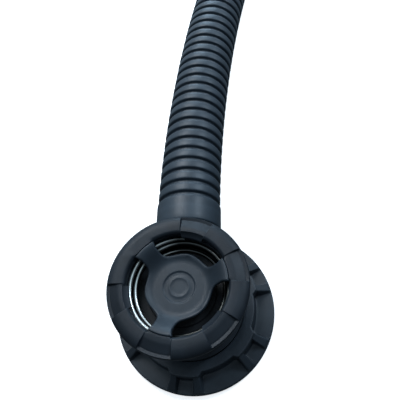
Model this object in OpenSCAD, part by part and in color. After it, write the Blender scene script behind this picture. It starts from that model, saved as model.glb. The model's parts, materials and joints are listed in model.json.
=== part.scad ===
// Corrugated hose on a 90 degree elbow with a spring-loaded exhaust valve.
// Z is the valve axis, the union nut stands on Z = 0, and the hose leaves towards +Y.

/* [Hose] */
// Outside diameter over the ribs
hose_od = 31; // [28:0.5:34]
// Depth of the grooves between the ribs
rib_depth = 1.8; // [1.2:0.1:2.2]
// Wall thickness of the rubber
hose_wall = 1.7; // [1.4:0.1:2]
// Distance from one rib to the next
rib_pitch = 6.3; // [6:0.1:7]
// Ribs from one flex point to the next
ribs_per_link = 5; // [4:1:7]
// Number of flex points
flex_count = 8; // [4:1:8]
// Length of the smooth cuff on the elbow
cuff_len = 13; // [12:0.1:14]
// Length of the smooth cuff on the free end
end_cuff_len = 15; // [12:1:22]
// Sideways turn from one link to the next, in degrees
link_sweep = 2.1; // [0:0.1:3]

/* [Elbow] */
// Height of the hose axis above the underside of the nut
stub_z = 25.5; // [25.5:0.1:26]
// Radius of the hose stub
stub_r = 12.2; // [11.5:0.1:12.2]
// Outside radius of the valve chamber
body_r = 24.4; // [24.4:0.1:24.6]
// Radius of the opening in the base
port_r = 19.5; // [17:0.5:20]

/* [Nut] */
// Outside radius of the nut
nut_r = 39.3; // [38.6:0.1:39.6]
// Height of the nut
nut_h = 11; // [10.8:0.1:11]
// Radius of the internal thread at its crests
thread_r = 27.7; // [27.6:0.1:27.8]

/* [Valve] */
// Outside radius of the cap ring
cap_r = 30.1; // [29.6:0.1:30.5]
// Height of the top of the cap ring
cap_top = 50.5; // [50.3:0.1:51]
// Radius of the opening in the cap ring
mouth_r = 21.7; // [21.4:0.1:21.9]
// Angle of the first arm of the cover
arm_angle = 14; // [0:1:30]
// Wire radius of the valve spring
wire_r = 0.9; // [0.7:0.05:0.9]

/* [Hidden] */
$fn = 96;
gap = 0.08;              // running clearance on a radius
hose_r = hose_od / 2;
groove_r = hose_r - rib_depth;
bore_r = groove_r - hose_wall;
land = 2.05;             // half width of a rib's flat top
foot = 2.45;             // half width of a rib at the groove floor
cuff_y = 32.8;           // start of the cuff, clear of the nut and the cap ring
cuff_r = hose_r + 0.3;
cuff_bore_r = 13;
first_rib = cuff_len + 3.85;              // first rib's centre, from the cuff's start
first_flex = first_rib + rib_pitch;       // first flex point, from the cuff's start
link_len = rib_pitch * ribs_per_link;
ball_r = hose_r - 0.9;
socket_r = ball_r + 0.15;
lip = 1.7;               // a link's lip, past its flex point
ball_end = 6.6;          // end of the ball, past the next flex point
fall = stub_z - hose_r;  // the hose comes down by this much, to lie on the ground
fall_share = [0, 0.2, 0.2, 0.15, 0.15, 0.15, 0.15];
thread_len = 5.4;
relief_r = 28.4;         // room for the flange, above the thread
nut_lip_z = 9.2;
flange_z = 7;
flange_r = 27.5;
skirt_r = 27;            // the cap's skirt, below its grip ring
cap_z = 38.4;            // underside of the skirt
grip_z = 44;             // underside of the grip ring
lip_z = 47.6;            // underside of the lip round the cap's mouth
hub_z = 43.6;            // top of the cover's hub
cover_h = 1.8;           // thickness of the cover
arm_rise = 6.4;          // the arms rise by this much to the cap's mouth
hub_flat = 11;           // radius of the level part of the hub
hub_r = 14.2;            // radius of the hub between its arms
body_top = 42.9;
lug_z = 39;              // underside of the bayonet lugs on the elbow
lug_h = 1.2;
lug_width = 20;          // degrees
cap_swing = 40;          // degrees from locked to the entry slots
o_ring_z = 41.4;
well_r = 21.6;
seat_z = 32.4;           // top of the valve seat's lip
seat_r = 15;
plate_z = 34;
pin_z = 17.5;            // pin through the stem's fork
loop_r = 4.6;
loop_y = 1.5;            // the loop hangs slack around the pin by this much
loop_z = pin_z + 2;
cable_r = 0.75;
slack = 2.2;             // room for the cable's travel

// ---- hose path: the direction and start of each link ----
function drop_of(k) = k < len(fall_share) ? fall_share[k] * fall : 0;
function pitch_of(k) = -asin(drop_of(k) / link_len);
function yaw_of(k) = link_sweep * k;
function dir_of(k) =
    let (level = cos(pitch_of(k))) [sin(yaw_of(k)) * level, cos(yaw_of(k)) * level, sin(pitch_of(k))];
function flex_at(k) =
    k <= 1 ? [0, cuff_y + first_flex, stub_z] : flex_at(k - 1) + link_len * dir_of(k - 1);

// Puts a shape drawn along +Y from the origin onto link k, starting at its flex point.
module on_link(k) {
    translate(flex_at(k)) rotate([pitch_of(k), 0, -yaw_of(k)]) children();
}

// Turns a profile of [axial, radius] points about +Y.
module turned_y(points) {
    rotate([-90, 0, 0]) rotate_extrude() polygon([for (p = points) [p[1], p[0]]]);
}

// Turns a profile of [radius, height] points about Z.
module turned_z(points) {
    rotate_extrude() polygon(points);
}

// ---- hose profiles, as [axial, radius] ----
function rib_out(c) = [[c - foot, groove_r], [c - land, hose_r], [c + land, hose_r], [c + foot, groove_r]];
function on_ball(c, a) = [c + a, sqrt(ball_r * ball_r - a * a)];
function on_socket(a) = [a, sqrt(socket_r * socket_r - a * a)];
function ball_out(c) = [for (a = [-3.85, -1.5, 1, 3.5, ball_end]) on_ball(c, a)];
function socket_in() = [for (a = [8.5, 6.3, 4, lip]) on_socket(a)];
function flat(lists) = [for (l = lists) for (p = l) p];
collar_end = rib_pitch + land;   // the collar that holds the socket is one rib wider

module hose_start() {
    c = first_flex;
    turned_y(flat([
        [[0, cuff_bore_r], [0, cuff_r - 0.5], [0.5, cuff_r], [cuff_len, cuff_r], [cuff_len + 0.5, groove_r]],
        [[first_rib - foot, groove_r], [first_rib - land, hose_r], [first_rib + land, hose_r]],
        ball_out(c),
        [[c + ball_end, bore_r], [cuff_len + 0.8, bore_r], [cuff_len + 0.2, cuff_bore_r]]
    ]));
}

module hose_middle() {
    last = ribs_per_link - 1;
    turned_y(flat([
        [[lip, hose_r], [collar_end, hose_r], [collar_end + 0.4, groove_r]],
        flat([for (i = [2:last - 1]) rib_out(i * rib_pitch)]),
        [[last * rib_pitch - foot, groove_r], [last * rib_pitch - land, hose_r],
         [last * rib_pitch + land, hose_r]],
        ball_out(link_len),
        [[link_len + ball_end, bore_r], [9.6, bore_r]],
        socket_in()
    ]));
}

module hose_end() {
    last = ribs_per_link - 1;
    start = last * rib_pitch + 3.85;
    end = start + end_cuff_len;
    turned_y(flat([
        [[lip, hose_r], [collar_end, hose_r], [collar_end + 0.4, groove_r]],
        flat([for (i = [2:last]) rib_out(i * rib_pitch)]),
        [[start - 0.4, groove_r], [start, hose_r], [end - 0.5, hose_r], [end, hose_r - 0.5], [end, 12.5],
         [start, 12.5], [start - 0.5, bore_r], [9.6, bore_r]],
        socket_in()
    ]));
}

module hose_link(k) {
    color([0.13, 0.16, 0.19])
        if (k == 0) translate([0, cuff_y, stub_z]) hose_start();
        else if (k < flex_count) on_link(k) hose_middle();
        else on_link(k) hose_end();
}

// ---- union nut ----
lobe_angle = 25;
flat_r = 29.4;
module nut_rib(side) {
    translate([0, side * 5.2, 0]) rotate([90, 0, 0])
        linear_extrude(4, center = true)
            polygon([[29.6, 2], [29.6, nut_h - 0.7], [30.6, nut_h - 0.7],
                     [nut_r - 0.6, 4.6], [nut_r - 0.6, 2]]);
}

module union_nut() {
    color([0.17, 0.2, 0.23]) difference() {
        union() {
            cylinder(h = 2.6, r = nut_r);
            translate([0, 0, 2.6]) cylinder(h = 0.8, r1 = nut_r, r2 = nut_r - 0.8);
            difference() {
                cylinder(h = nut_h, r = 32);
                for (i = [0:5]) rotate([0, 0, lobe_angle + 30 + 60 * i])
                    translate([flat_r, -7.75, 3]) cube([10, 15.5, nut_h]);
            }
            for (i = [0:5]) rotate([0, 0, lobe_angle + 60 * i]) {
                nut_rib(1);
                nut_rib(-1);
            }
        }
        translate([0, 0, -1]) cylinder(h = thread_len + 1, r = thread_r);
        translate([0, 0, thread_len]) cylinder(h = nut_lip_z - thread_len, r = relief_r);
        cylinder(h = nut_h + 1, r = body_r + 0.9);
    }
}

module port_gasket() {
    color([0.08, 0.08, 0.09]) difference() {
        translate([0, 0, flange_z - 1.55]) cylinder(h = 1.5, r = flange_r - 0.2);
        cylinder(h = 10, r = port_r + 0.5);
    }
}

// ---- elbow ----
module stub_barb(y) {
    translate([0, y, stub_z]) rotate([-90, 0, 0]) cylinder(h = 3, r1 = cuff_bore_r - 0.1, r2 = stub_r);
}

module ring_sector(r0, r1, z, h, from, width) {
    rotate([0, 0, from]) rotate_extrude(angle = width) translate([r0, z]) square([r1 - r0, h]);
}

module elbow_shell() {
    turned_z([[0, flange_z], [flange_r, flange_z], [flange_r, 9], [body_r + 0.9 - gap, 9.1],
              [body_r + 0.9 - gap, 12.6], [body_r - 1, 14], [body_r - 1, 36.6], [body_r, 38],
              [body_r, body_top], [0, body_top]]);
    translate([0, 18, stub_z]) rotate([-90, 0, 0]) cylinder(h = 27, r = stub_r);
    stub_barb(35);
    stub_barb(40);
    for (i = [0:2])
        ring_sector(body_r - 1, body_r + 1, lug_z, lug_h, arm_angle + 120 * i - lug_width / 2, lug_width);
}

module elbow_body() {
    color([0.16, 0.19, 0.22]) difference() {
        elbow_shell();
        translate([0, 0, flange_z - 1]) cylinder(h = 30 - flange_z, r = port_r);
        translate([0, 0, 20]) cylinder(h = 30, r = seat_r);
        difference() {
            translate([0, 0, 31]) cylinder(h = 20, r = well_r);
            translate([0, 0, 30]) cylinder(h = seat_z - 30, r = seat_r + 2);
        }
        translate([0, 26, stub_z]) rotate([-90, 0, 0]) cylinder(h = 30, r = 10.2);
        intersection() {
            translate([0, 12, stub_z]) rotate([-90, 0, 0]) cylinder(h = 15, r = 10.2);
            translate([-20, 0, 0]) cube([40, 40, 29]);
        }
        translate([0, 0, o_ring_z]) rotate_extrude() translate([body_r - 0.7, 0]) circle(r = 0.85, $fn = 32);
    }
}

module cap_o_ring() {
    color([0.05, 0.05, 0.05]) translate([0, 0, o_ring_z])
        rotate_extrude() translate([body_r - 0.75, 0]) circle(r = 0.74, $fn = 32);
}

// ---- cap ----
module notch(angle) {
    ledge_z = cap_top - 1.7;
    rotate([0, 0, angle - 14]) rotate_extrude(angle = 28)
        polygon([[mouth_r - 1, cap_top - 0.35], [mouth_r + 2.4, cap_top - 0.45], [cap_r - 1.8, ledge_z],
                 [cap_r + 1, ledge_z], [cap_r + 1, cap_top + 1], [mouth_r - 1, cap_top + 1]]);
}

module lip_tab(angle) {
    rotate([0, 0, angle - 13]) rotate_extrude(angle = 26)
        polygon([[mouth_r - 1.3, lip_z + 0.1], [mouth_r + 1, lip_z + 0.1], [mouth_r + 1, cap_top - 1],
                 [mouth_r - 0.7, cap_top - 1.6], [mouth_r - 1.3, cap_top - 2.2]]);
}

module cap_ring() {
    round_w = 4.5;
    round_h = 2.8;
    color([0.17, 0.2, 0.23]) {
        difference() {
            turned_z(concat(
                [[body_r + gap, cap_z], [skirt_r - 0.6, cap_z], [skirt_r, cap_z + 0.6], [skirt_r, grip_z - 1],
                 [cap_r - 1.6, grip_z], [cap_r - 0.7, grip_z + 0.6], [cap_r, cap_top - round_h]],
                [for (a = [12:13:90]) [cap_r - round_w * (1 - cos(a)), cap_top - round_h * (1 - sin(a))]],
                [[mouth_r + 0.9, cap_top], [mouth_r, cap_top - 0.9], [mouth_r, lip_z],
                 [body_r + gap, lip_z]]));
            for (i = [0, 1, 3, 4, 5]) notch(arm_angle + 60 * i);
            for (i = [0:2]) rotate([0, 0, arm_angle + 120 * i]) {
                entry = -cap_swing - lug_width / 2 - 2;
                ring_sector(body_r - 1, body_r + 1.2, lug_z - 0.2, lug_h + 0.4, entry,
                            cap_swing + lug_width + 4);
                ring_sector(body_r - 1, body_r + 1.2, cap_z - 1, 3, entry, lug_width + 4);
            }
        }
        for (i = [0:2]) lip_tab(arm_angle + 60 + 120 * i);
    }
}

// The waisted outline between the hub and an arm, drawn for the arm along +X.
module arm_outline() {
    arm_half = 4.1;
    polygon(concat(
        [[0, -hub_r], [0, hub_r]],
        [for (i = [0:8]) let (t = i / 8, s = t * t * (3 - 2 * t))
            [5.5 + 12 * t, hub_r * 0.9 * (1 - s) + arm_half * s]],
        [[mouth_r + 1, arm_half], [mouth_r + 1, -arm_half]],
        [for (i = [8:-1:0]) let (t = i / 8, s = t * t * (3 - 2 * t))
            [5.5 + 12 * t, -hub_r * 0.9 * (1 - s) - arm_half * s]]));
}

// Height of the dished cover's top at a distance from its axis.
function cover_top(r) =
    let (t = min(max((r - hub_flat) / (mouth_r - 0.3 - hub_flat), 0), 1))
    hub_z + arm_rise * t * t * (3 - 2 * t);

module slotted_cover() {
    reach = [for (i = [0:8]) hub_flat + (mouth_r - 0.1 - hub_flat) * i / 8];
    root_z = lip_z - 1.9;
    color([0.18, 0.21, 0.25]) {
        difference() {
            intersection() {
                turned_z(concat([[0, hub_z - cover_h]], [for (r = reach) [r, cover_top(r) - cover_h]],
                                [for (i = [8:-1:0]) [reach[i], cover_top(reach[i])]], [[0, hub_z]]));
                translate([0, 0, hub_z - 5]) linear_extrude(20) {
                    circle(r = hub_r);
                    for (i = [0:2]) rotate(arm_angle + 120 * i) arm_outline();
                }
            }
            translate([0, 0, hub_z - 0.4]) cylinder(h = 2, r = 7);
        }
        for (i = [0:2]) rotate([0, 0, arm_angle + 120 * i]) {
            ring_sector(mouth_r - 1.9, body_r - 1, root_z, lip_z - 0.1 - root_z, -11, 22);
            ring_sector(mouth_r - 1.8, mouth_r - 0.2, root_z + 1, hub_z + arm_rise - 2.2 - root_z, -10, 20);
        }
        translate([0, 0, body_top + 0.1]) difference() {
            cylinder(h = lip_z - 0.1 - body_top - 0.1, r = body_r - 0.1);
            translate([0, 0, -1]) cylinder(h = 10, r = body_r - 2.1);
        }
        translate([0, 0, hub_z - 0.5]) difference() {
            cylinder(h = 0.45, r = 5.4);
            translate([0, 0, -1]) cylinder(h = 3, r = 4.8);
        }
    }
}

// ---- valve ----
// The wire's first turn rests on the plate, and its last one lies close below the cover.
spring_turns = 2.1;
foot_turns = 0.35;
crown_turns = 0.85;
spring_lo = plate_z + 2.1 + wire_r;
spring_hi = lip_z - 2 - wire_r;
foot_r = 18.8;
crown_r = 20.6;
crown_drop = 1.7;
spring_end = 84;   // where the last turn ends, in degrees
steps = 40;        // per turn
sides = 10;
function coil_way(t) =
    let (crown = (t - spring_turns) / crown_turns + 1,
         climb = (t - foot_turns) / (spring_turns - crown_turns - foot_turns),
         neck_z = spring_hi - crown_drop)
    crown > 0 ? [crown_r, neck_z + crown_drop * crown]
    : climb > 0 ? [foot_r + (crown_r - foot_r) * climb, spring_lo + (neck_z - spring_lo) * climb]
    : [foot_r, spring_lo];
function coil_point(i, j) =
    let (t = i / steps, a = spring_end + 360 * (spring_turns - t), b = 360 * j / sides,
         way = coil_way(t), r = way[0] + wire_r * cos(b))
    [r * cos(a), r * sin(a), way[1] + wire_r * sin(b)];

module valve_spring() {
    n = steps * spring_turns;
    color([0.75, 0.76, 0.74]) polyhedron(
        points = [for (i = [0:n]) for (j = [0:sides - 1]) coil_point(i, j)],
        faces = concat(
            [[for (j = [sides - 1:-1:0]) j]],
            [for (i = [0:n - 1]) for (j = [0:sides - 1])
                [i * sides + j, (i + 1) * sides + (j + 1) % sides, (i + 1) * sides + j]],
            [for (i = [0:n - 1]) for (j = [0:sides - 1])
                [i * sides + j, i * sides + (j + 1) % sides, (i + 1) * sides + (j + 1) % sides]],
            [[for (j = [0:sides - 1]) n * sides + j]]));
}

module valve_plate() {
    color([0.12, 0.13, 0.15]) difference() {
        union() {
            translate([0, 0, plate_z]) cylinder(h = 2, r = 20.4);
            translate([0, 0, plate_z + 2]) cylinder(h = 0.5, r1 = 15.4, r2 = 14.9);
            translate([0, 0, pin_z + 2.5]) cylinder(h = plate_z - pin_z - 2, r = 3.4);
            translate([-3.4, -2.2, pin_z - 2.2]) cube([6.8, 4.4, 6]);
        }
        translate([0, 0, plate_z + 1.4]) cylinder(h = 3, r1 = 11.6, r2 = 14.6);
        translate([-1.4, -6, pin_z - 6]) cube([2.8, 12, 16]);
        translate([-5, 0, pin_z]) rotate([0, 90, 0]) cylinder(h = 10, r = 0.95, $fn = 32);
    }
}

module valve_seal() {
    color([0.35, 0.36, 0.36]) translate([0, 0, seat_z + 0.05]) difference() {
        cylinder(h = plate_z - seat_z - 0.1, r = 17.9);
        translate([0, 0, -1]) cylinder(h = 4, r = 3.45);
    }
}

module seal_retainer() {
    color([0.12, 0.13, 0.15]) translate([0, 0, seat_z - 1.2]) difference() {
        cylinder(h = 1.2, r = 9);
        translate([0, 0, -1]) cylinder(h = 4, r = 3.45);
    }
}

module stem_pin() {
    color([0.75, 0.76, 0.74])
        translate([-3.3, 0, pin_z]) rotate([0, 90, 0]) cylinder(h = 6.6, r = 0.9, $fn = 32);
}

// ---- pull cable ----
cable_reach = flex_at(1)[1] - loop_y;
cable_tilt = atan((stub_z - loop_z) / cable_reach);
cable_run = norm([cable_reach, stub_z - loop_z]);
module on_cable() {
    translate([0, loop_y, loop_z]) rotate([cable_tilt, 0, 0]) children();
}

module wire_y(y0, y1) {
    translate([0, y0, 0]) rotate([-90, 0, 0]) cylinder(h = y1 - y0, r = cable_r, $fn = 32);
}

module cable_lower() {
    color([0.7, 0.71, 0.7]) on_cable() {
        rotate([0, 90, 0]) rotate_extrude() translate([loop_r, 0]) circle(r = 0.6, $fn = 24);
        wire_y(loop_r, cable_run - slack);
    }
}

module ferrule_y(y0, length) {
    translate([0, y0, 0]) rotate([-90, 0, 0]) difference() {
        cylinder(h = length, r = 1.9, $fn = 48);
        translate([0, 0, -1]) cylinder(h = length + 2, r = cable_r + 0.02, $fn = 32);
    }
}

module lower_ferrule() {
    color([0.62, 0.6, 0.55]) on_cable() ferrule_y(loop_r + 0.7, 8);
}

module cable_link(k) {
    color([0.7, 0.71, 0.7]) on_link(k) wire_y(0.3, link_len - 0.3);
}

end_loop_y = (ribs_per_link - 1) * rib_pitch + 3.85 - 8.5;   // stays inside, behind the end cuff's bore
module cable_upper() {
    color([0.7, 0.71, 0.7]) on_link(flex_count) {
        wire_y(0.3, end_loop_y - loop_r + 0.2);
        translate([0, end_loop_y, 0]) rotate([0, 90, 0])
            rotate_extrude() translate([loop_r, 0]) circle(r = 0.6, $fn = 24);
    }
}

module upper_ferrule() {
    color([0.62, 0.6, 0.55]) on_link(flex_count) ferrule_y(end_loop_y - loop_r - 0.7 - 8, 8);
}

union_nut();
port_gasket();
elbow_body();
cap_o_ring();
cap_ring();
slotted_cover();
valve_spring();
valve_plate();
valve_seal();
seal_retainer();
stem_pin();
cable_lower();
lower_ferrule();
cable_upper();
upper_ferrule();
for (k = [0:flex_count]) hose_link(k);
for (k = [1:flex_count - 1]) cable_link(k);
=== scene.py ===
"""Looks for a corrugated hose with an elbow exhaust valve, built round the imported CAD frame."""
import json
import math

import bmesh
import bpy
import numpy as np
from mathutils import Matrix, Vector
from mathutils.geometry import delaunay_2d_cdt


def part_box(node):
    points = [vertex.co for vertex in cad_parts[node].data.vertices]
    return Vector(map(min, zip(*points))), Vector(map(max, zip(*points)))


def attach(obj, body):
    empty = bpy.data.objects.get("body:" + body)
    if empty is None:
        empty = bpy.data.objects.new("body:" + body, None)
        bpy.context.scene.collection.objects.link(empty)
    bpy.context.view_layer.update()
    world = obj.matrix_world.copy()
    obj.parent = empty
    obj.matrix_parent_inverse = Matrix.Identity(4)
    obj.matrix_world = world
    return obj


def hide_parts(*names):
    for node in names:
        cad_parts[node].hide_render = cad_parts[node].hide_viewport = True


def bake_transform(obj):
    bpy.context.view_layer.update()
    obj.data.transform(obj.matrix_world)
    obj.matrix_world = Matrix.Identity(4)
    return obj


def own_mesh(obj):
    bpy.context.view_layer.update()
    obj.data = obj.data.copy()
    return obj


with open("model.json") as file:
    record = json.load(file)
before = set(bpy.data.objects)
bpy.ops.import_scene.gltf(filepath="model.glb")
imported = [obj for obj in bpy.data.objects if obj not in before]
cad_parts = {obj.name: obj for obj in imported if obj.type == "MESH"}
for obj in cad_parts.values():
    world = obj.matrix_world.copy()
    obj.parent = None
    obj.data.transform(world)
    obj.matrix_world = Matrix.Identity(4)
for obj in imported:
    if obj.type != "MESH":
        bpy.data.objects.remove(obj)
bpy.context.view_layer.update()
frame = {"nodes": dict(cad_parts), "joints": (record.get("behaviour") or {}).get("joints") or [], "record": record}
MM = 0.001
TAU = 2 * math.pi


# ---------------------------------------------------------------- materials
def node_material(name, dark, light, roughness, spread=0.06, grain=(5.0, 0.012), waves=(0.45, 0.02),
                  wear=0.25, metallic=0.0, rings=None, specular=0.5, painted_light_side=None):
    """Moulded, rubber or metal surface: two tones mixed by noise, and worn edges.

    grain and waves are (times per mm, height in mm) of the bump, rings the turned marks per mm, painted_light_side
    a direction: the colour is painted lit on that side and painted shaded elsewhere.
    """
    mat = bpy.data.materials.new(name)
    mat.use_nodes = True
    nodes, links = mat.node_tree.nodes, mat.node_tree.links
    nodes.clear()

    def add(kind, **settings):
        node = nodes.new(kind)
        for key, value in settings.items():
            setattr(node, key, value)
        return node

    def noise(scale, detail, distortion=0.0):
        node = add("ShaderNodeTexNoise")
        node.inputs["Scale"].default_value = scale
        node.inputs["Detail"].default_value = detail
        node.inputs["Distortion"].default_value = distortion
        links.new(mm.outputs["Vector"], node.inputs["Vector"])
        return node.outputs["Fac"]

    def ramp(source, stops):
        node = add("ShaderNodeValToRGB")
        elements = node.color_ramp.elements
        elements[0].position, elements[0].color = stops[0][0], (*stops[0][1], 1)
        elements[1].position, elements[1].color = stops[-1][0], (*stops[-1][1], 1)
        links.new(source, node.inputs["Fac"])
        return node.outputs["Color"]

    def spread_to(source, low, high):
        node = add("ShaderNodeMapRange")
        node.inputs["To Min"].default_value = low
        node.inputs["To Max"].default_value = high
        links.new(source, node.inputs["Value"])
        return node.outputs["Result"]

    def bump(height, distance, previous=None):
        node = add("ShaderNodeBump")
        node.inputs["Distance"].default_value = distance * MM
        links.new(height, node.inputs["Height"])
        if previous:
            links.new(previous, node.inputs["Normal"])
        return node.outputs["Normal"]

    coords = add("ShaderNodeTexCoord")
    mm = add("ShaderNodeMapping")
    mm.inputs["Scale"].default_value = (1 / MM,) * 3
    links.new(coords.outputs["Object"], mm.inputs["Vector"])

    # two tones in blotches about 11 mm wide, paler again on worn outer edges
    blotch = ramp(noise(0.09, 4, 0.4), [(0.35, dark), (0.68, light)])
    geometry = add("ShaderNodeNewGeometry")
    edge = add("ShaderNodeMapRange")
    edge.inputs["From Min"].default_value = 0.52
    edge.inputs["From Max"].default_value = 0.62
    links.new(geometry.outputs["Pointiness"], edge.inputs["Value"])
    patchy = add("ShaderNodeMath", operation="MULTIPLY")
    links.new(edge.outputs["Result"], patchy.inputs[0])
    links.new(spread_to(noise(0.8, 3), 0.2 * wear, 1.4 * wear), patchy.inputs[1])
    worn_tone = [min(1, c * 3.2 + 0.012) for c in light]
    worn = add("ShaderNodeMix", data_type="RGBA")
    worn.inputs["B"].default_value = (*worn_tone, 1)
    links.new(patchy.outputs[0], worn.inputs["Factor"])
    links.new(blotch, worn.inputs["A"])

    normal = bump(noise(grain[0], 5), grain[1])
    normal = bump(noise(waves[0], 3, 0.6), waves[1], normal)
    if rings:
        ring = add("ShaderNodeTexWave", wave_type="RINGS", rings_direction="Z")
        ring.inputs["Scale"].default_value = rings
        ring.inputs["Distortion"].default_value = 0.15
        links.new(mm.outputs["Vector"], ring.inputs["Vector"])
        normal = bump(ring.outputs["Fac"], 0.04, normal)

    shader = add("ShaderNodeBsdfPrincipled")
    colour = worn.outputs["Result"]
    if painted_light_side:
        # painted light and shade: the colour is at full strength from 11 mm out towards one side of the object,
        # falling to a tenth at 2 mm and below, as if that side were lit and the rest shaded
        toward = add("ShaderNodeVectorMath", operation="DOT_PRODUCT")
        toward.inputs[1].default_value = painted_light_side
        links.new(mm.outputs["Vector"], toward.inputs[0])
        painted_light_fade = add("ShaderNodeMapRange")
        for socket, value in {"From Min": 2, "From Max": 11, "To Min": 0.1, "To Max": 1}.items():
            painted_light_fade.inputs[socket].default_value = value
        links.new(toward.outputs["Value"], painted_light_fade.inputs["Value"])
        lit_and_shaded_colour = add("ShaderNodeVectorMath", operation="SCALE")
        links.new(colour, lit_and_shaded_colour.inputs[0])
        links.new(painted_light_fade.outputs["Result"], lit_and_shaded_colour.inputs["Scale"])
        colour = lit_and_shaded_colour.outputs["Vector"]
    links.new(colour, shader.inputs["Base Color"])
    patches = spread_to(noise(0.3, 4, 0.5), roughness - spread, roughness + spread)
    links.new(patches, shader.inputs["Roughness"])
    links.new(normal, shader.inputs["Normal"])
    shader.inputs["Metallic"].default_value = metallic
    shader.inputs["Specular IOR Level"].default_value = specular
    output = add("ShaderNodeOutputMaterial")
    links.new(shader.outputs["BSDF"], output.inputs["Surface"])
    return mat


HOSE = node_material("hose_rubber", (0.0190, 0.0280, 0.0375), (0.0270, 0.0390, 0.0515), 0.45,
                     grain=(7, 0.008), wear=0.12, specular=0.34)
CAP = node_material("cap_plastic", (0.0062, 0.0092, 0.0132), (0.0098, 0.0145, 0.0205), 0.5, specular=0.24)
COVER = node_material("cover_plastic", (0.0105, 0.0160, 0.0225), (0.0165, 0.0245, 0.0335), 0.48,
                      grain=(6, 0.014), specular=0.34)
NUT = node_material("nut_plastic", (0.0110, 0.0155, 0.0210), (0.0165, 0.0235, 0.0310), 0.46,
                    specular=0.36)
ELBOW = node_material("elbow_plastic", (0.0085, 0.0115, 0.0155), (0.0125, 0.0170, 0.0225), 0.48,
                      specular=0.3)
VALVE = node_material("valve_plastic", (0.0050, 0.0060, 0.0075), (0.0090, 0.0105, 0.0125), 0.55,
                      rings=0.55, specular=0.25)
GASKET = node_material("gasket_rubber", (0.008, 0.008, 0.009), (0.014, 0.014, 0.015), 0.62, wear=0.05)
SILICONE = node_material("seal_silicone", (0.2, 0.21, 0.21), (0.3, 0.31, 0.31), 0.38, wear=0.05)
# the spring's steel is painted light on its -X side and painted shade on the rest
STEEL = node_material("spring_steel", (0.62, 0.64, 0.6), (0.78, 0.8, 0.76), 0.3, spread=0.05,
                      metallic=1.0, wear=0.02, painted_light_side=(-0.98, 0.05, 0))
ROPE = node_material("cable_steel", (0.38, 0.38, 0.37), (0.58, 0.58, 0.57), 0.34, metallic=1.0, wear=0.02)
FERRULE = node_material("ferrule_metal", (0.42, 0.39, 0.33), (0.56, 0.53, 0.47), 0.4,
                        metallic=1.0, wear=0.1)


# ---------------------------------------------------------------- mesh helpers
def add_mesh(name, points_mm, faces, mat, sharp=38, turn_out=True):
    """A smooth-shaded object whose faces all point outwards."""
    points = np.asarray(points_mm, float) * MM
    triangles = [(f[0], f[i], f[i + 1]) for f in faces for i in range(1, len(f) - 1)]
    a, b, c = (points[[t[i] for t in triangles]] for i in range(3))
    if turn_out and np.einsum("ij,ij->", a, np.cross(b, c)) < 0:
        faces = [tuple(reversed(f)) for f in faces]
    mesh = bpy.data.meshes.new(name)
    mesh.from_pydata([tuple(p) for p in points], [], faces)
    mesh.shade_smooth()
    mesh.set_sharp_from_angle(angle=math.radians(sharp))
    mesh.materials.append(mat)
    mesh.validate()
    piece = bpy.data.objects.new(name, mesh)
    bpy.context.scene.collection.objects.link(piece)
    return piece


def weld(piece):
    """Joins points that lie in the same place and turns every face outwards."""
    body = bmesh.new()
    body.from_mesh(piece.data)
    bmesh.ops.remove_doubles(body, verts=body.verts, dist=0.002 * MM)
    bmesh.ops.recalc_face_normals(body, faces=body.faces)
    body.to_mesh(piece.data)
    body.free()


def loft(name, rings, mat, closed=True, sharp=38):
    """Rings of points joined in order.

    closed joins the last ring to the first; otherwise both ends are filled.
    """
    rings = np.asarray(rings, float)
    count, size = rings.shape[:2]
    faces = []
    for i in range(count if closed else count - 1):
        j = (i + 1) % count
        faces += [(i * size + k, i * size + (k + 1) % size, j * size + (k + 1) % size, j * size + k)
                  for k in range(size)]
    if not closed:
        faces += [tuple(reversed(range(size))), tuple((count - 1) * size + k for k in range(size))]
    return add_mesh(name, rings.reshape(-1, 3), faces, mat, sharp)


def fillet(corners, steps=4):
    """Rounds each (x, y, radius) corner of a closed outline."""
    out = []
    n = len(corners)
    for i, (x, y, radius) in enumerate(corners):
        here = np.array((x, y), float)
        before = np.array(corners[i - 1][:2], float) - here
        after = np.array(corners[(i + 1) % n][:2], float) - here
        la, lb = np.linalg.norm(before), np.linalg.norm(after)
        u, v = before / la, after / lb
        angle = math.acos(np.clip(u @ v, -1, 1))
        if radius <= 0 or angle > math.pi - 0.02:
            out.append(here)
            continue
        reach = min(radius / math.tan(angle / 2), 0.48 * la, 0.48 * lb)
        for k in range(steps + 1):
            t = k / steps
            p, q = here + u * reach * (1 - t), here + v * reach * t
            out.append(p * (1 - t) + q * t)
    return out


def lathe(name, corners, mat, segments=144, steps=4, sharp=38):
    """Turns a closed outline of (radius, z, rounding) corners about Z."""
    turn = np.linspace(0, TAU, segments, endpoint=False)
    rings = [np.stack([r * np.cos(turn), r * np.sin(turn), np.full(segments, z)], 1)
             for r, z in fillet(corners, steps)]
    return loft(name, rings, mat, sharp=sharp)


def ease(x):
    """0 up to 0, 1 from 1 on, and smooth between."""
    x = np.clip(x, 0, 1)
    return x * x * (3 - 2 * x)


def window(angle, centre, half, soft):
    """1 within half of centre, falling to 0 over soft, all in degrees."""
    away = np.abs((angle - centre + 180) % 360 - 180)
    return ease((half + soft / 2 - away) / soft)


def size_of(node):
    """A CAD node's lowest and highest corners, in mm."""
    lo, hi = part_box(node)
    return lo / MM, hi / MM


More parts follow.
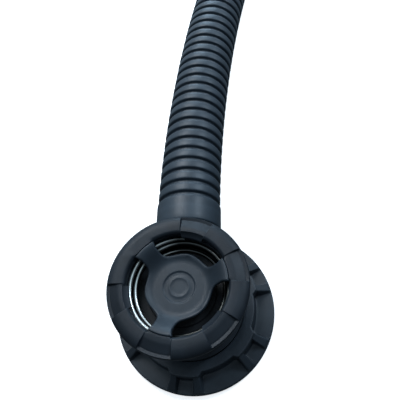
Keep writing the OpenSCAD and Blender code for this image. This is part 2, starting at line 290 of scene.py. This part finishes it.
# ---------------------------------------------------------------- hose
joints = {j["child"]: j for j in frame["joints"]}
mounts = {m["name"]: m for m in frame["record"]["mounts"]}
SPANS = 8            # lengths of hose, each with a flex point in its middle
RIBS_PER_SPAN = 5
flex = [np.array(joints[f"hose_{k}"]["pos_m"]) / MM for k in range(1, SPANS + 1)]
link_lo, link_hi = size_of("hose_link_0")
hose_start = np.array((0, link_lo.y, flex[0][2]))
cuff = mounts["end_cuff_bore"]
cuff_axis = np.array(cuff["axis"])
hose_end = np.array(cuff["pos_m"]) / MM + cuff_axis * cuff["dims"]["length_mm"] / 2
HALF = np.linalg.norm(flex[1] - flex[0]) / 2
PITCH = 2 * HALF / RIBS_PER_SPAN
CUFF_R = (link_hi.x - link_lo.x) / 2
HOSE_R = CUFF_R - 0.3
GROOVE = 1.6         # depth of a groove
WALL = 1.7           # thickness of the rubber under a groove
CUFF_BORE = 13.0
END_BORE = cuff["dims"]["r_mm"]
middles = [flex[0] - np.array((0, HALF, 0))] + [(a + b) / 2 for a, b in zip(flex, flex[1:])]
middles.append(flex[-1] + cuff_axis * HALF)
# half of a rib's profile: (mm from its middle, share of its height), drawn for ribs RIB_PITCH apart
RIB = [(0, 1), (0.7, 0.998), (1.25, 0.985), (1.6, 0.95), (1.84, 0.87), (2.0, 0.74), (2.1, 0.55),
       (2.18, 0.36), (2.28, 0.18), (2.45, 0.06), (2.75, 0.01), (3.15, 0)]
RIB_PITCH = 6.3
RIB_STEPS = sorted({round(s * u * PITCH / RIB_PITCH, 5) for u, _ in RIB for s in (-1, 1)})


def rib_height(s):
    """0 in a groove's floor, 1 on a rib's land, at s mm from a flex point."""
    away = abs(s - PITCH * round(s / PITCH)) * RIB_PITCH / PITCH
    return float(np.interp(away, [u for u, _ in RIB], [h for _, h in RIB]))


def ring_at(centre, tangent, radius, segments):
    """A ring of points round a centre, square to a direction."""
    side = np.cross(tangent, (0, 0, 1))
    side /= np.linalg.norm(side)
    up = np.cross(side, tangent)
    turn = np.linspace(0, TAU, segments, endpoint=False)
    return centre + radius * (np.outer(np.cos(turn), side) + np.outer(np.sin(turn), up))


def bend_curve(a, b, c):
    """The curve from a to c that heads for b, as a function of the distance from its middle.

    The function gives the point there and the direction of the curve.
    """
    t = np.linspace(0, 1, 241)[:, None]
    line = (1 - t) ** 2 * a + 2 * t * (1 - t) * b + t ** 2 * c
    way = 2 * (1 - t) * (b - a) + 2 * t * (c - b)
    along = np.concatenate([[0], np.cumsum(np.linalg.norm(np.diff(line, axis=0), axis=1))])
    along = along / along[-1] * 2 * HALF - HALF

    def at(s):
        centre = np.array([np.interp(s, along, line[:, i]) for i in range(3)])
        tangent = np.array([np.interp(s, along, way[:, i]) for i in range(3)])
        return centre, tangent / np.linalg.norm(tangent)
    return at


def straight(origin, direction):
    """A straight line, as the same kind of function."""
    return lambda s: (origin + direction * s, direction)


SEGMENTS = 112


def tube(name, at, outer, inner):
    """A hollow length of hose from lists of (distance, radius), both running the same way."""
    rings = [ring_at(*at(s), r, SEGMENTS) for s, r in outer + inner[::-1]]
    piece = loft(name, rings, HOSE, sharp=60)
    return piece


def hose_radius(s):
    return HOSE_R - GROOVE * (1 - rib_height(s))


def bore_radius(s):
    return HOSE_R - GROOVE - WALL + (GROOVE - 0.3) * rib_height(s) * 0.8


def rib_range(lo, hi):
    """Ring positions between lo and hi, in mm from a flex point."""
    found = [lo]
    for i in range(math.floor(lo / PITCH) - 1, math.ceil(hi / PITCH) + 2):
        found += [i * PITCH + u for u in RIB_STEPS if lo + 0.02 < i * PITCH + u < hi - 0.02]
    return sorted(set(found)) + [hi]


def make_hose():
    begin = -np.linalg.norm(flex[0] - hose_start)
    first_groove = -1.5 * PITCH
    cuff_stop = -14.5                              # where the cuff starts to fall to the first rib
    bore_wide, bore_close, bore_on = -9.6, -9.2, -9.0   # the step from the cuff's bore to the hose's
    at = straight(flex[0], np.array((0, 1.0, 0)))
    lip = [(begin, CUFF_R - 0.9), (begin + 0.12, CUFF_R - 0.45), (begin + 0.4, CUFF_R - 0.12),
           (begin + 0.9, CUFF_R)]
    plain = [begin + 3, begin + 5, -HALF]
    piece = tube("hose_cuff", at, lip + [(s, CUFF_R) for s in plain],
                 [(begin, CUFF_BORE), (begin + 3, CUFF_BORE), (-HALF, CUFF_BORE)])
    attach(piece, "elbow")
    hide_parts("hose_link_0")
    for k in range(1, SPANS + 1):
        at = bend_curve(middles[k - 1], flex[k - 1], middles[k])
        if k == 1:
            where = rib_range(-2 * PITCH, HALF)
            outer = [(-HALF, CUFF_R), (cuff_stop, CUFF_R)]
            outer += [(s, hose_radius(s) + (CUFF_R - HOSE_R) * rib_height(s))
                      for s in where if s < first_groove]
            outer += [(s, hose_radius(s)) for s in where if s >= first_groove]
            inner = [(-HALF, CUFF_BORE), (bore_wide, CUFF_BORE), (bore_close, bore_radius(bore_close))]
            inner += [(s, bore_radius(s)) for s in rib_range(bore_on, HALF)]
        else:
            where = rib_range(-HALF, HALF)
            outer = [(s, hose_radius(s)) for s in where]
            inner = [(s, bore_radius(s)) for s in where]
        piece = tube(f"hose_span_{k}", at, outer, inner)
        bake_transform(piece)
        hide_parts(f"hose_link_{k}")
    at = straight(flex[-1], cuff_axis)
    end = (hose_end - flex[-1]) @ cuff_axis
    cuff_from = end - cuff["dims"]["length_mm"]
    where = [s for s in rib_range(HALF, cuff_from + 1) if s < cuff_from - 0.6]
    outer = [(s, hose_radius(s)) for s in where]
    outer += [(cuff_from - 0.25, HOSE_R - GROOVE * 0.5), (cuff_from, HOSE_R - 0.2),
              (cuff_from + 0.5, HOSE_R), (end - 1, HOSE_R), (end - 0.45, HOSE_R - 0.12),
              (end - 0.12, HOSE_R - 0.45), (end, HOSE_R - 0.9)]
    inner = [(s, bore_radius(s)) for s in where if s < cuff_from - 1.5]
    inner += [(cuff_from - 1, HOSE_R - GROOVE - WALL), (cuff_from, END_BORE), (end - 0.6, END_BORE),
              (end, END_BORE + 0.5)]
    piece = tube("hose_end_cuff", at, outer, inner)
    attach(piece, f"hose_{SPANS}")


make_hose()


# ---------------------------------------------------------------- pull cable inside the hose
def make_cable():
    """Wire rope of six strands: one straight start on hose_1, then lengths laid along the hose's bends."""
    rope_r, strands, lay, sides, step = 0.75, 6, 9.0, 36, 0.9

    def rope(name, at, lo, hi):
        turn = np.linspace(0, TAU, sides, endpoint=False)
        rings = []
        for s in np.linspace(lo, hi, int((hi - lo) / step) + 2):
            radius = rope_r * (0.9 + 0.1 * np.cos(strands * (turn - TAU * s / lay)))
            ring = ring_at(*at(s), 1.0, sides)
            centre = at(s)[0]
            rings.append(centre + (ring - centre) * radius[:, None])
        piece = loft(name, rings, ROPE, closed=False)
        return piece

    along = (flex[1] - flex[0]) / (2 * HALF)
    piece = rope("cable_span_1", straight(flex[0], along), 0.3, HALF)
    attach(piece, "hose_1")
    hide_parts("cable_link_1")
    for k in range(2, SPANS + 1):
        at = bend_curve(middles[k - 1], flex[k - 1], middles[k])
        piece = rope(f"cable_span_{k}", at, -HALF, HALF if k < SPANS else -0.2)
        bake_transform(piece)
        if k < SPANS:
            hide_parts(f"cable_link_{k}")


make_cable()


# ---------------------------------------------------------------- cap ring
ring_lo, ring_hi = size_of("cap_ring")
CAP_TOP = ring_hi.z
CAP_R = (ring_hi.x - ring_lo.x) / 2
CAP_BASE = ring_lo.z
MOUTH = CAP_R - 8.4
BODY_TOP = size_of("elbow_body")[1].z
GRIP_Z = CAP_TOP - 6.5
LIP_Z = CAP_TOP - 2.9
SKIRT_R = CAP_R - 3.1
CAP_BORE = 24.48
LUG_ROOM = 25.6             # radius of the groove the elbow's bayonet lugs turn in
ARM = 14.0                  # direction of the first arm, in degrees
NOTCHES = (0, 1, 3, 4, 5)   # in sixths of a turn from the first arm


def graded(edges, step, fine, reach):
    """Angles all round, closer together near each edge."""
    base = list(np.arange(0, 360, step))
    for e in edges:
        base += [(e + d) % 360 for d in np.arange(-reach, reach + fine / 2, fine)]
    base = np.unique(np.round(base, 4))
    keep = [base[0]]
    for b in base[1:]:
        if b - keep[-1] > fine * 0.45:
            keep.append(b)
    return np.array(keep)


def make_cap_ring():
    notch_half, tab_half, arm_half = 14.0, 13, 12.2   # in degrees
    edges = [ARM + 60 * i + s * notch_half for i in NOTCHES for s in (-1, 1)]
    edges += [ARM + 60 + 120 * i + s * tab_half for i in range(3) for s in (-1, 1)]
    deg = graded(edges, step=2.0, fine=0.22, reach=1.2)
    turn = np.radians(deg)
    cut = np.zeros_like(deg)
    tab = np.zeros_like(deg)
    arm = np.zeros_like(deg)
    for i in NOTCHES:
        cut = np.maximum(cut, window(deg, ARM + 60 * i, notch_half, 1.1))
    for i in range(3):
        tab = np.maximum(tab, window(deg, ARM + 60 + 120 * i, tab_half, 1.4))
        arm = np.maximum(arm, window(deg, ARM + 120 * i, arm_half, 1.2))
    wide, drop = 4.5, 2.8   # the ring's rounded outer edge
    crest_r, side_z = CAP_R - wide, CAP_TOP - drop

    def on_round(degrees):
        """Radius and height of a point on the rounded edge."""
        a = math.radians(degrees)
        return crest_r + wide * math.cos(a), side_z + drop * math.sin(a)

    # each row: plain ring (r, z), then where the same point goes in a notch
    rows = [((MOUTH, LIP_Z), (MOUTH, LIP_Z)), ((MOUTH, CAP_TOP - 2.2), (MOUTH, CAP_TOP - 2.2)),
            ((MOUTH + 0.03, CAP_TOP - 1.1), (MOUTH + 0.03, CAP_TOP - 1.3)),
            ((MOUTH + 0.2, CAP_TOP - 0.75), (MOUTH + 0.2, CAP_TOP - 0.95)),
            ((MOUTH + 0.7, CAP_TOP - 0.25), (MOUTH + 0.7, CAP_TOP - 0.5)),
            ((MOUTH + 0.95, CAP_TOP - 0.08), (MOUTH + 0.95, CAP_TOP - 0.38)),
            ((MOUTH + 1.4, CAP_TOP), (MOUTH + 1.4, CAP_TOP - 0.35)),
            ((crest_r, CAP_TOP), (MOUTH + 2.4, CAP_TOP - 0.42))]
    slope_from, slope_to = (MOUTH + 2.9, CAP_TOP - 0.5), (CAP_R - 1.85, CAP_TOP - 1.85)
    slope = np.linspace(84, 38, 11)
    for a, t in zip(slope, np.linspace(0, 1, len(slope))):
        rows.append((on_round(a), tuple(u + (v - u) * t for u, v in zip(slope_from, slope_to))))
    for a, inset, depth in ((36, 1.78, 1.93), (34.5, 1.66, 1.94), (33, 1.5, 1.9), (30.5, 1.0, 1.76),
                            (28, 0.55, 1.64)):
        rows.append((on_round(a), (CAP_R - inset, CAP_TOP - depth)))
    rows += [(on_round(a), on_round(a)) for a in (25, 21, 17, 13, 9, 4, 0)]
    side = [(CAP_R - 0.12, side_z - 1.4), (CAP_R - 0.4, GRIP_Z + 1.4), (CAP_R - 0.7, GRIP_Z + 0.7),
            (CAP_R - 1.05, GRIP_Z + 0.22), (CAP_R - 1.6, GRIP_Z)]
    skirt = [(SKIRT_R + 0.4, GRIP_Z - 0.3), (SKIRT_R, GRIP_Z - 0.8), (SKIRT_R, CAP_BASE + 0.6),
             (SKIRT_R - 0.2, CAP_BASE + 0.15), (SKIRT_R - 0.6, CAP_BASE), (CAP_BORE + 0.2, CAP_BASE)]
    bore = [(CAP_BORE, CAP_BASE + 0.2), (CAP_BORE, CAP_BASE + 0.4), (LUG_ROOM, CAP_BASE + 0.4),
            (LUG_ROOM, CAP_BASE + 2), (CAP_BORE, CAP_BASE + 2), (CAP_BORE, LIP_Z)]
    rows += [(p, p) for p in side + skirt + bore]
    # where the first rows go at the three tabs, and where they meet the cover's arms
    tab_rows = {0: (MOUTH - 1.3, LIP_Z + 0.1), 1: (MOUTH - 1.3, CAP_TOP - 2.45),
                2: (MOUTH - 1.22, CAP_TOP - 2.2), 3: (MOUTH - 1.0, CAP_TOP - 2.0),
                4: (MOUTH + 0.7, CAP_TOP - 0.95)}
    arm_rows = {2: (MOUTH, CAP_TOP - 1.3), 3: (MOUTH, CAP_TOP - 0.6), 4: (MOUTH + 0.04, CAP_TOP - 0.36),
                5: (MOUTH + 0.3, CAP_TOP - 0.33), 6: (MOUTH + 1.1, CAP_TOP - 0.33)}
    rings = []
    for i, (plain, notched) in enumerate(rows):
        r = plain[0] * (1 - cut) + notched[0] * cut
        z = plain[1] * (1 - cut) + notched[1] * cut
        if i in arm_rows:
            r = r * (1 - arm) + arm_rows[i][0] * arm
            z = z * (1 - arm) + arm_rows[i][1] * arm
        if i in tab_rows:
            r = r * (1 - tab) + tab_rows[i][0] * tab
            z = z * (1 - tab) + tab_rows[i][1] * tab
        rings.append(np.stack([r * np.cos(turn), r * np.sin(turn), z], 1))
    piece = loft("cap_ring_moulding", rings, CAP, sharp=42)
    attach(piece, "cap")
    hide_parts("cap_ring")


make_cap_ring()


# ---------------------------------------------------------------- slotted cover
HUB_Z = CAP_TOP - 6.9
HUB_FLAT = 11        # radius of the level part of the hub
ARM_RISE = 6.6
COVER_THICK = 1.8
COVER_REACH = MOUTH - 0.08


def cover_top(radius):
    """The cover is dished: its arms climb from the hub to the cap's mouth."""
    return HUB_Z + ARM_RISE * ease((radius - HUB_FLAT) / (MOUTH - 0.3 - HUB_FLAT))


def cover_outline():
    """Outline of the hub and its three arms, with its outward directions."""
    hub, arm_half, shoulder, flare = 15.9, 4.1, 18.4, 1.1
    end = math.degrees(math.asin((arm_half + flare) / COVER_REACH))
    rim = [(COVER_REACH * math.cos(math.radians(a)), COVER_REACH * math.sin(math.radians(a)), 0)
           for a in np.linspace(-end + 1.5, end - 1.5, 7)]
    side = [(14.4, -arm_half, 4.5), (shoulder, -arm_half, 2.0),
            (COVER_REACH * math.cos(math.radians(end)), -arm_half - flare, 0.3)]
    arm = [(hub * math.cos(math.radians(60)), -hub * math.sin(math.radians(60)), 14.0)]
    arm += side + rim + [(x, -y, r) for x, y, r in side[::-1]]
    corners = []
    for i in range(3):
        c, s = math.cos(math.radians(ARM + 120 * i)), math.sin(math.radians(ARM + 120 * i))
        corners += [(x * c - y * s, x * s + y * c, r) for x, y, r in arm]
    line = np.array(fillet(corners, 14))
    ends = np.vstack([line, line[:1]])
    along = np.concatenate([[0], np.cumsum(np.linalg.norm(np.diff(ends, axis=0), axis=1))])
    even = np.linspace(0, along[-1], 420, endpoint=False)
    line = np.stack([np.interp(even, along, ends[:, i]) for i in range(2)], 1)
    way = np.roll(line, -1, 0) - np.roll(line, 1, 0)
    out = np.stack([way[:, 1], -way[:, 0]], 1)
    return line, out / np.linalg.norm(out, axis=1)[:, None]


# close together where the hub's ring and dish have their edges
GRID_RADII = (1.2, 2.4, 3.4, 3.7, 4.1, 4.5, 4.8, 5.6, 6.2, 6.5, 6.75, 7.0, 7.3, *np.arange(8, 21.3, 0.8))


def filled(outline):
    """Triangles that fill an outline, with a polar grid of points inside it."""
    clear = 0.35   # no grid point comes nearer to the outline
    grid = [Vector((0, 0))]
    for r in GRID_RADII:
        count = 12 * max(1, round(r * 0.9))
        grid += [Vector((r * math.cos(TAU * k / count), r * math.sin(TAU * k / count)))
                 for k in range(count)]
    a, b = outline, np.roll(outline, -1, 0)
    rise = np.where(b[:, 1] == a[:, 1], 1, b[:, 1] - a[:, 1])
    inside = []
    for p in grid:
        x, y = p
        spans = (a[:, 1] > y) != (b[:, 1] > y)
        crossed = spans & (x < (b[:, 0] - a[:, 0]) * (y - a[:, 1]) / rise + a[:, 0])
        if crossed.sum() % 2 and np.hypot(*(outline - (x, y)).T).min() > clear:
            inside.append(p)
    fence = [Vector(p) for p in outline]
    n = len(fence)
    fence_edges = [(k, (k + 1) % n) for k in range(n)]
    points, _, faces, *_ = delaunay_2d_cdt(fence + inside, fence_edges, [], 1, 1e-6)
    return np.array([tuple(p) for p in points]), [tuple(f) for f in faces]


def make_cover():
    line, out = cover_outline()
    edge = 0.7                                  # rounding of the top edge
    dish_depth, dish_r, dish_slope = 0.45, 6.45, 0.6
    ring_height, ring_in, ring_out, ring_slope = 0.22, 3.5, 4.3, 0.45

    def height(radius):
        """The hub's top: a shallow round dish with a low plain ring in it."""
        dish = dish_depth * (1 - ease((radius - dish_r) / dish_slope))
        up, down = ease((radius - ring_in) / ring_slope), ease((radius - ring_out) / ring_slope)
        return cover_top(radius) - dish + ring_height * (up - down)

    top_points, top_faces = filled(line - out * edge)
    count = len(line)
    points = [np.column_stack([top_points, height(np.hypot(*top_points.T))])]
    faces = list(top_faces)
    rim = np.radians(np.linspace(90, 0, 7))[1:]
    rows = [(edge * (1 - math.cos(a)), edge - edge * math.sin(a)) for a in rim]
    rows += [(0, COVER_THICK - 0.3), (0.1, COVER_THICK - 0.08), (0.4, COVER_THICK)]
    start = len(top_points)
    last = list(range(count))
    for inset, drop in rows:
        place = line - out * inset
        z = cover_top(np.hypot(*(line - out * edge).T)) - drop
        points.append(np.column_stack([place, z]))
        ring = list(range(start, start + count))
        faces += [(last[k], last[(k + 1) % count], ring[(k + 1) % count], ring[k]) for k in range(count)]
        last, start = ring, start + count
    faces = [f if i < len(top_faces) else f[::-1] for i, f in enumerate(faces)]
    under_points, under_faces = filled(line - out * 0.4)
    under = np.column_stack([under_points, cover_top(np.hypot(*under_points.T)) - COVER_THICK])
    points.append(under)
    faces += [tuple(start + k for k in f[::-1]) for f in under_faces]
    piece = add_mesh("cover_moulding", np.vstack(points), faces, COVER, sharp=50, turn_out=False)
    weld(piece)
    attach(piece, "cap")
    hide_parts("slotted_cover")

    band_top, outer = LIP_Z - 0.1, CAP_BORE - 0.18
    band_base = max(size_of("slotted_cover")[0].z, BODY_TOP + 0.1)
    band = lathe("cover_band", [(outer - 2, band_base, 0.2), (outer, band_base, 0.3),
                                (outer, band_top, 0.2), (outer - 2, band_top, 0.3)], COVER)
    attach(band, "cap")
    # the roots join the arms to the band
    root_half, root_base, root_in, root_out = 11, LIP_Z - 1.9, MOUTH - 1.9, MOUTH - 0.25
    section = [(root_in, root_base), (outer - 1, root_base), (outer - 1, band_top), (root_out, band_top),
               (root_out, HUB_Z + 5.3), (root_in, HUB_Z + 4.9)]
    for i in range(3):
        angles = np.radians(ARM + 120 * i + np.linspace(-root_half, root_half, 13))
        rings = [[(r * math.cos(a), r * math.sin(a), z) for r, z in section] for a in angles]
        root = loft(f"cover_root_{i + 1}", rings, COVER, closed=False, sharp=35)
        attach(root, "cap")


make_cover()


# ---------------------------------------------------------------- union nut
nut_lo, nut_hi = size_of("union_nut")
NUT_R, NUT_TOP = (nut_hi.x - nut_lo.x) / 2, nut_hi.z
FLANGE_TOP = 3.3
LOBE = 25.0          # direction of the first lobe, in degrees


def make_nut():
    deg = np.arange(0, 360, 0.5)
    turn = np.radians(deg)
    lobe = np.zeros_like(deg)
    ribs = np.zeros_like(deg)
    for i in range(6):
        lobe = np.maximum(lobe, window(deg, LOBE + 60 * i, 13.3, 4.6))
        for s in (-1, 1):
            ribs = np.maximum(ribs, window(deg, LOBE + 60 * i + s * 9.4, 3.2, 1.7))
    wall_r, lobe_out = 30.1, 2.1
    wall = wall_r + lobe_out * lobe
    level = np.full_like(deg, 1.0)
    inner, relief, lip_z = 25.3, 28.4, NUT_TOP - 1.8
    thread = mounts["port_thread"]["dims"]["r_mm"]
    thread_top = mounts["port_thread"]["dims"]["length_mm"]
    thread_turns, thread_depth = 2.5, 0.5

    def rib_z(r):
        """Top of the ribs that run down from the wall to the flange's rim."""
        return np.interp(r, [30.6, NUT_R - 0.9, NUT_R - 0.3], [NUT_TOP - 0.7, 4.7, FLANGE_TOP])

    # inside, from the thread up to the lip
    rows = []
    for z in np.linspace(0.3, thread_top - 0.2, 34):
        phase = (z * thread_turns / thread_top - deg / 360) % 1
        groove = ease(1 - abs(phase - 0.5) * 2.6) * thread_depth
        groove = groove * ease((z - 0.2) / 0.6) * ease((thread_top - 0.6 - z) / 0.8)
        rows.append((thread + groove, z))
    rows += [(thread, thread_top), (relief, thread_top + 0.3), (relief, lip_z - 0.2), (relief - 0.2, lip_z),
             (inner, lip_z), (inner, NUT_TOP - 0.5), (inner + 0.15, NUT_TOP - 0.15), (inner + 0.5, NUT_TOP)]
    # over the lobed top edge and down the wall
    for d, dz in ((-3, 0), (-1.2, 0), (-0.62, 0), (-0.36, -0.05), (-0.15, -0.18), (-0.03, -0.42),
                  (0.0, -0.8)):
        rows.append((wall + d, NUT_TOP + dz))
    for share in (0.25, 0.5, 0.75, 0.9, 1.0):
        r = wall + 0.35 * share
        z = FLANGE_TOP + 0.6 + (NUT_TOP - 1.4 - FLANGE_TOP) * (1 - share)
        rows.append((r, np.maximum(z, rib_z(r) * ribs)))
    # out over the flange and its ribs, round the rim and back underneath
    for d, dz in ((0.5, 0.25), (0.8, 0.06), (1.1, 0.0)):
        r = wall + d
        rows.append((r, np.maximum(FLANGE_TOP + dz, FLANGE_TOP + (rib_z(r) - FLANGE_TOP) * ribs)))
    for share in (0.2, 0.4, 0.6, 0.75, 0.87, 0.94, 0.975, 1.0):
        r = wall + 1.1 + (NUT_R - 0.75 - wall - 1.1) * share
        rows.append((r, FLANGE_TOP + (rib_z(r) - FLANGE_TOP) * ribs))
    rows += [(NUT_R - 0.3, FLANGE_TOP - 0.12), (NUT_R - 0.05, FLANGE_TOP - 0.5), (NUT_R, FLANGE_TOP - 0.9),
             (NUT_R, 0.8), (NUT_R - 0.12, 0.35), (NUT_R - 0.5, 0.05), (NUT_R - 0.9, 0), (thread + 1.6, 0),
             (thread + 0.6, 0.05)]
    rings = [np.stack([r * np.cos(turn), r * np.sin(turn), z * level], 1) for r, z in rows]
    piece = loft("union_nut_moulding", rings, NUT, sharp=42)
    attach(piece, "nut")
    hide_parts("union_nut")


make_nut()


# ---------------------------------------------------------------- valve spring
COIL_TURNS, FOOT_TURNS, CROWN_TURNS = 2.1, 0.35, 0.85   # all, at the level foot, at the crown
COIL_R, CROWN_R, CROWN_OUT = 18.8, 20.6, 21.2           # radius at the foot and over the crown
CROWN_DROP = 1.2                                        # the crown falls by this to its start


def coil_way(t, z0, z1):
    """Radius and height of the spring's wire after t turns, from the plate to the cover."""
    last = (t - COIL_TURNS) / CROWN_TURNS + 1
    if last > 0:
        return CROWN_R + (CROWN_OUT - CROWN_R) * ease(last / 0.15), z1 - CROWN_DROP * (1 - last)
    climb = (t - FOOT_TURNS) / (COIL_TURNS - CROWN_TURNS - FOOT_TURNS)
    if climb > 0:
        return COIL_R + (CROWN_R - COIL_R) * climb, z0 + (z1 - CROWN_DROP - z0) * climb
    return COIL_R, z0


def make_spring():
    lo, hi = size_of("valve_spring")
    wire, per_turn, sides, last_end = 0.9, 80, 14, 84
    turn = np.linspace(0, TAU, sides, endpoint=False)
    rings = []
    for i in range(int(COIL_TURNS * per_turn) + 1):
        t = i / per_turn
        r, z = coil_way(t, lo.z + wire, hi.z - wire)
        a = math.radians(last_end) + TAU * (COIL_TURNS - t)
        outward = np.array((math.cos(a), math.sin(a), 0))
        around = np.outer(np.cos(turn), outward) + np.outer(np.sin(turn), (0, 0, 1))
        rings.append(outward * r + (0, 0, z) + wire * around)
    piece = loft("valve_spring_coil", rings, STEEL, closed=False)
    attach(piece, "elbow")
    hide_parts("valve_spring")
    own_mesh(piece)


make_spring()


# ---------------------------------------------------------------- materials of the CAD nodes that stay
for node, mat in {"elbow_body": ELBOW, "cap_o_ring": GASKET, "port_gasket": GASKET, "valve_plate": VALVE,
                  "valve_seal": SILICONE, "seal_retainer": VALVE, "stem_pin": STEEL, "cable_lower": ROPE,
                  "cable_upper": ROPE, "lower_ferrule": FERRULE, "upper_ferrule": FERRULE}.items():
    piece = frame["nodes"][node]
    for s in piece.material_slots:
        s.material = mat


# ---------------------------------------------------------------- stage, light and camera
def set_stage():
    half, low = 3, -0.0002
    mesh = bpy.data.meshes.new("floor")
    mesh.from_pydata([(-half, -half, low), (half, -half, low), (half, half, low), (-half, half, low)], [],
                     [(0, 1, 2, 3)])
    floor = bpy.data.objects.new("floor", mesh)
    bpy.context.scene.collection.objects.link(floor)
    mat = bpy.data.materials.new("floor_paper")
    mat.use_nodes = True
    shader = mat.node_tree.nodes["Principled BSDF"]
    shader.inputs["Base Color"].default_value = (0.9, 0.9, 0.9, 1)
    shader.inputs["Roughness"].default_value = 0.9
    shader.inputs["Emission Color"].default_value = (1, 1, 1, 1)
    shader.inputs["Emission Strength"].default_value = 0.7
    mesh.materials.append(mat)
    # its glow lights nothing but the camera's view of it
    floor.visible_diffuse = floor.visible_glossy = False


def area_light(name, place, target, size, power, tint=(1, 1, 1)):
    data = bpy.data.lights.new(name, "AREA")
    data.shape, data.size, data.energy, data.color = "DISK", size, power, tint
    lamp = bpy.data.objects.new(name, data)
    bpy.context.scene.collection.objects.link(lamp)
    lamp.location = place
    lamp.rotation_mode = "QUATERNION"
    lamp.rotation_quaternion = (Vector(target) - Vector(place)).to_track_quat("-Z", "Y")


def set_light():
    """A soft white room, brighter behind and above the object than in front of it, and two soft lamps."""
    world = bpy.data.worlds.new("studio")
    bpy.context.scene.world = world
    world.use_nodes = True
    nodes, links = world.node_tree.nodes, world.node_tree.links
    background = nodes["Background"]
    background.inputs["Color"].default_value = (0.66, 0.84, 1, 1)
    way = nodes.new("ShaderNodeTexCoord")
    toward = nodes.new("ShaderNodeVectorMath")
    toward.operation = "DOT_PRODUCT"
    toward.inputs[1].default_value = Vector((-0.15, 0.74, 0.65)).normalized()
    strength = nodes.new("ShaderNodeMapRange")
    strength.inputs["From Min"].default_value = -0.1
    strength.inputs["To Min"].default_value = 0.13
    strength.inputs["To Max"].default_value = 0.95
    links.new(way.outputs["Generated"], toward.inputs[0])
    links.new(toward.outputs["Value"], strength.inputs["Value"])
    links.new(strength.outputs["Result"], background.inputs["Strength"])
    # what the camera itself sees of the room is plain white
    plain = nodes.new("ShaderNodeBackground")
    plain.inputs["Color"].default_value = (0.95, 0.97, 1, 1)
    seen, mix = nodes.new("ShaderNodeLightPath"), nodes.new("ShaderNodeMixShader")
    links.new(seen.outputs["Is Camera Ray"], mix.inputs["Fac"])
    links.new(background.outputs["Background"], mix.inputs[1])
    links.new(plain.outputs["Background"], mix.inputs[2])
    links.new(mix.outputs["Shader"], nodes["World Output"].inputs["Surface"])
    area_light("key", (-0.22, 0.4, 0.55), (0, 0.03, 0.02), 0.3, 3.0, (0.9, 0.95, 1))
    area_light("side", (0.42, 0.36, 0.5), (0.01, 0.16, 0.02), 0.16, 2.2, (0.7, 0.85, 1))
    area_light("low", (-0.03, 0.62, 0.2), (0, 0, 0.045), 0.22, 1.5, (0.55, 0.78, 1))
    scene = bpy.context.scene
    scene.view_settings.view_transform = "Standard"
    scene.view_settings.look = "None"


def set_camera():
    azimuth, elevation, roll = math.radians(17.07), math.radians(61.52), math.radians(-18.14)
    target, distance, lens = Vector((0.00448, 0.05272, 0.020)), 0.2364, 41.256
    level = math.cos(elevation)
    back = Vector((math.sin(azimuth) * level, -math.cos(azimuth) * level, math.sin(elevation)))
    right = Vector((math.cos(azimuth), math.sin(azimuth), 0))
    up = back.cross(right)
    x = right * math.cos(roll) + up * math.sin(roll)
    y = up * math.cos(roll) - right * math.sin(roll)
    cam = bpy.data.objects.new("camera", bpy.data.cameras.new("camera"))
    bpy.context.scene.collection.objects.link(cam)
    place = target + back * distance
    cam.matrix_world = Matrix(((x.x, y.x, back.x, place.x), (x.y, y.y, back.y, place.y),
                               (x.z, y.z, back.z, place.z), (0, 0, 0, 1)))
    cam.data.lens = lens
    cam.data.clip_start = 0.005
    bpy.context.scene.camera = cam


set_stage()
set_light()
set_camera()
